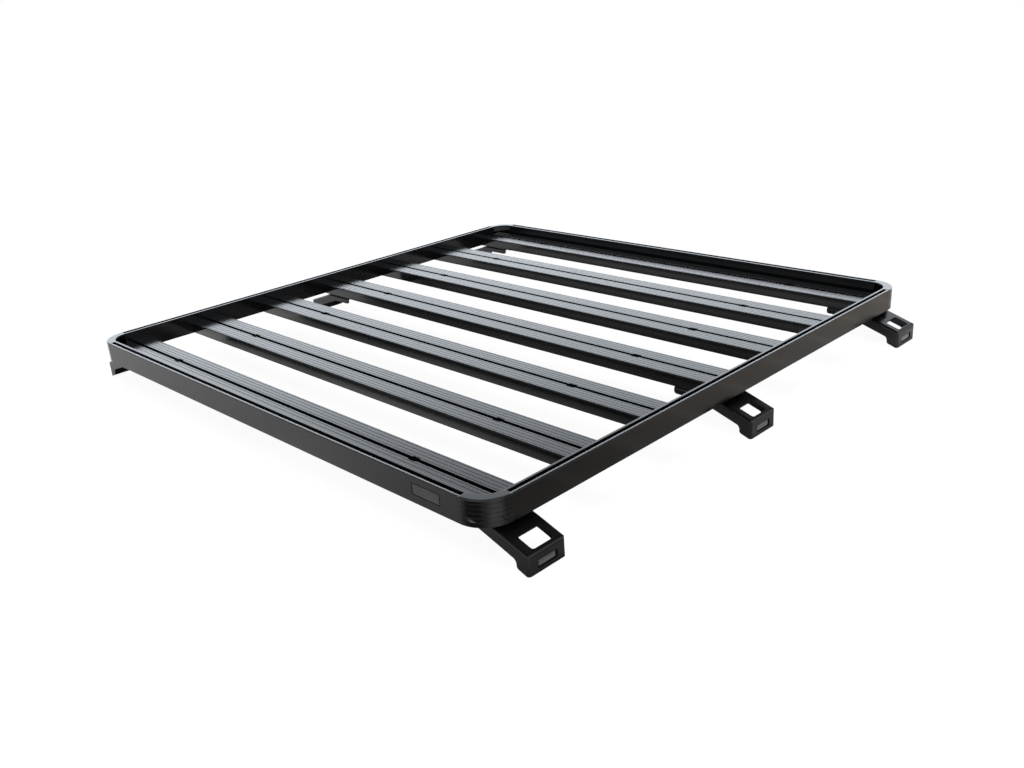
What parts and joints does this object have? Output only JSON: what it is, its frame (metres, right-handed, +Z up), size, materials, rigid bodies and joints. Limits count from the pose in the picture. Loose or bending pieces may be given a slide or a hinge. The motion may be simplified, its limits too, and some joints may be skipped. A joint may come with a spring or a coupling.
{
  "type": "truck bed rack",
  "caption": "Flat slatted load rack for a pickup bed: a rail frame with rounded corners, grooved cross slats and folded feet that step outwards.",
  "frame": {"origin": "on the ground under the middle of the rack, at the bottom of its feet", "axes": "+X along the slats to the rack's right side, +Y along the tray to its rear, +Z up"},
  "size_m": [1.45, 1.358, 0.116],
  "materials": {
    "rail_coat": "satin black powder coat on extruded aluminium",
    "slat_coat": "satin black powder coat on ribbed extruded aluminium",
    "corner_coat": "satin black powder coat on cast aluminium",
    "foot_coat": "satin black powder coat on folded steel plate",
    "bolt_zinc": "zinc-plated steel",
    "cleat_zinc": "plain aluminium angle"
  },
  "bodies": {
    "root": {"front_rail": "rail_coat", "rear_rail": "rail_coat", "left_rail": "rail_coat", "right_rail": "rail_coat", "corner_front_left": "corner_coat", "corner_front_right": "corner_coat", "corner_rear_left": "corner_coat", "corner_rear_right": "corner_coat", "slat_1": "slat_coat", "slat_2": "slat_coat", "slat_3": "slat_coat", "slat_4": "slat_coat", "slat_5": "slat_coat", "slat_6": "slat_coat", "slat_7": "slat_coat", "cleats_left": "cleat_zinc", "cleats_right": "cleat_zinc", "foot_front_left": "foot_coat", "foot_middle_left": "foot_coat", "foot_rear_left": "foot_coat", "foot_front_right": "foot_coat", "foot_middle_right": "foot_coat", "foot_rear_right": "foot_coat", "bolts_front_left": "bolt_zinc", "bolts_middle_left": "bolt_zinc", "bolts_rear_left": "bolt_zinc", "bolts_front_right": "bolt_zinc", "bolts_middle_right": "bolt_zinc", "bolts_rear_right": "bolt_zinc"}
  },
  "joints": []
}
